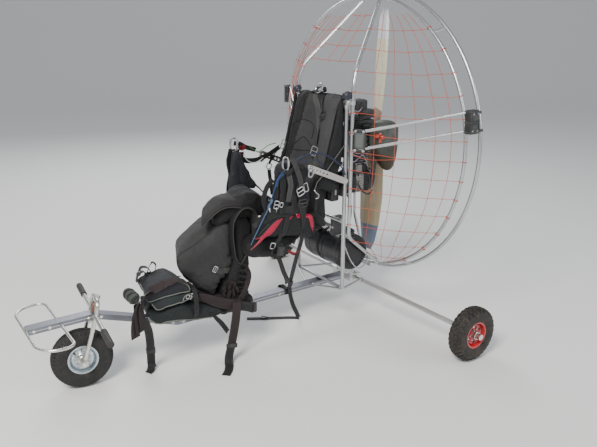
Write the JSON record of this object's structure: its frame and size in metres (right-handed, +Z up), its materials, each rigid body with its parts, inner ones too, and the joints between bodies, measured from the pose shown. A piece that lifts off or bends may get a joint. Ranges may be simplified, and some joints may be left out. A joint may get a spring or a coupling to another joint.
{
  "type": "paramotor trike",
  "caption": "Foot-steered tricycle undercarriage carrying a backpack engine, a pusher propeller inside a tubular guard, a slung harness seat and bags on the boom.",
  "frame": {"origin": "on the ground at the centre of the whole trike's box, on the centre plane", "axes": "+X forwards, +Y to the pilot's left, +Z up"},
  "size_m": [1.8939, 1.736, 1.6665],
  "materials": {
    "alu_tube": "satin drawn tube",
    "alu_boom": "satin extruded profile",
    "alu_plate": "milled plate",
    "zinc_steel": "bright zinc",
    "zinc_rim": "zinc plated pressing",
    "red_rim": "gloss red enamel",
    "tyre": "black rubber, dusty",
    "grip_rubber": "ribbed rubber",
    "black_plastic": "moulded",
    "grey_plastic": "moulded",
    "cast_alloy": "sand cast",
    "fin_metal": "cast fins",
    "muffler_metal": "heat stained black",
    "prop_wood": "varnished laminated wood, white tips",
    "red_anodised": "orange red anodised",
    "tank_plastic": "dark blow moulded",
    "grey_fabric": "woven nylon",
    "black_fabric": "woven nylon",
    "navy_fabric": "woven nylon with grey piping",
    "olive_fabric": "woven nylon"
  },
  "bodies": {
    "frame": {"airbox": "black_plastic", "axle_bracket": "alu_plate", "bag_roll": "olive_fabric", "boom_bag": "navy_fabric", "cage_front_ring": "alu_tube", "cage_joint_covers": "black_plastic", "cage_rear_ring": "alu_tube", "cage_uprights": "alu_tube", "centre_strut": "alu_tube", "chassis_crossbars": "alu_tube", "chassis_posts": "alu_tube", "engine_block": "cast_alloy", "engine_carrier": "alu_plate", "engine_cylinder": "fin_metal", "exhaust_muffler": "muffler_metal", "flap_bundle": "black_fabric", "foot_braces": "alu_tube", "front_bag": "grey_fabric", "front_bumper": "zinc_steel", "fuel_tank": "tank_plastic", "head_tube": "zinc_steel", "hip_panels": "black_fabric", "main_boom": "alu_boom", "rear_axle_beams": "alu_tube", "reduction_drive": "cast_alloy", "ring_spacers": "alu_tube", "ring_ties": "alu_plate", "seat_back": "grey_fabric", "seat_base": "black_fabric", "seat_wings": "black_fabric", "side_struts": "alu_tube", "spark_plug_cap": "black_plastic", "starter_housing": "black_plastic", "strut_brackets": "grey_plastic", "stub_axles": "zinc_steel", "swing_arms": "alu_plate", "tank_brackets": "alu_plate"},
    "steering": {"front_fork": "zinc_steel", "foot_grips": "grip_rubber", "front_axle": "zinc_steel"},
    "front_wheel": {"front_tyre": "tyre", "front_rim": "zinc_rim"},
    "rear_left_wheel": {"rear_left_tyre": "tyre", "rear_left_rim": "red_rim"},
    "rear_right_wheel": {"rear_right_tyre": "tyre", "rear_right_rim": "red_rim"},
    "propeller": {"propeller_blades": "prop_wood", "propeller_hub": "red_anodised"}
  },
  "joints": [
    {"name": "steering_turn", "type": "hinge", "parent": "frame", "child": "steering", "pos_m": [0.73, 0, 0.13], "axis": [-0.3223, 0, 0.9466], "range_deg": [-22, 38]},
    {"name": "front_wheel_spin", "type": "hinge", "parent": "steering", "child": "front_wheel", "pos_m": [0.73, 0, 0.13], "axis": [0.1317, 0.9903, 0.0449], "continuous": true},
    {"name": "rear_left_wheel_spin", "type": "hinge", "parent": "frame", "child": "rear_left_wheel", "pos_m": [-0.817, 0.812, 0.13], "axis": [0, 1, 0], "continuous": true},
    {"name": "rear_right_wheel_spin", "type": "hinge", "parent": "frame", "child": "rear_right_wheel", "pos_m": [-0.817, -0.812, 0.13], "axis": [0, 1, 0], "continuous": true},
    {"name": "propeller_spin", "type": "hinge", "parent": "frame", "child": "propeller", "pos_m": [-0.91, 0, 0.926], "axis": [1, 0, 0], "continuous": true}
  ]
}
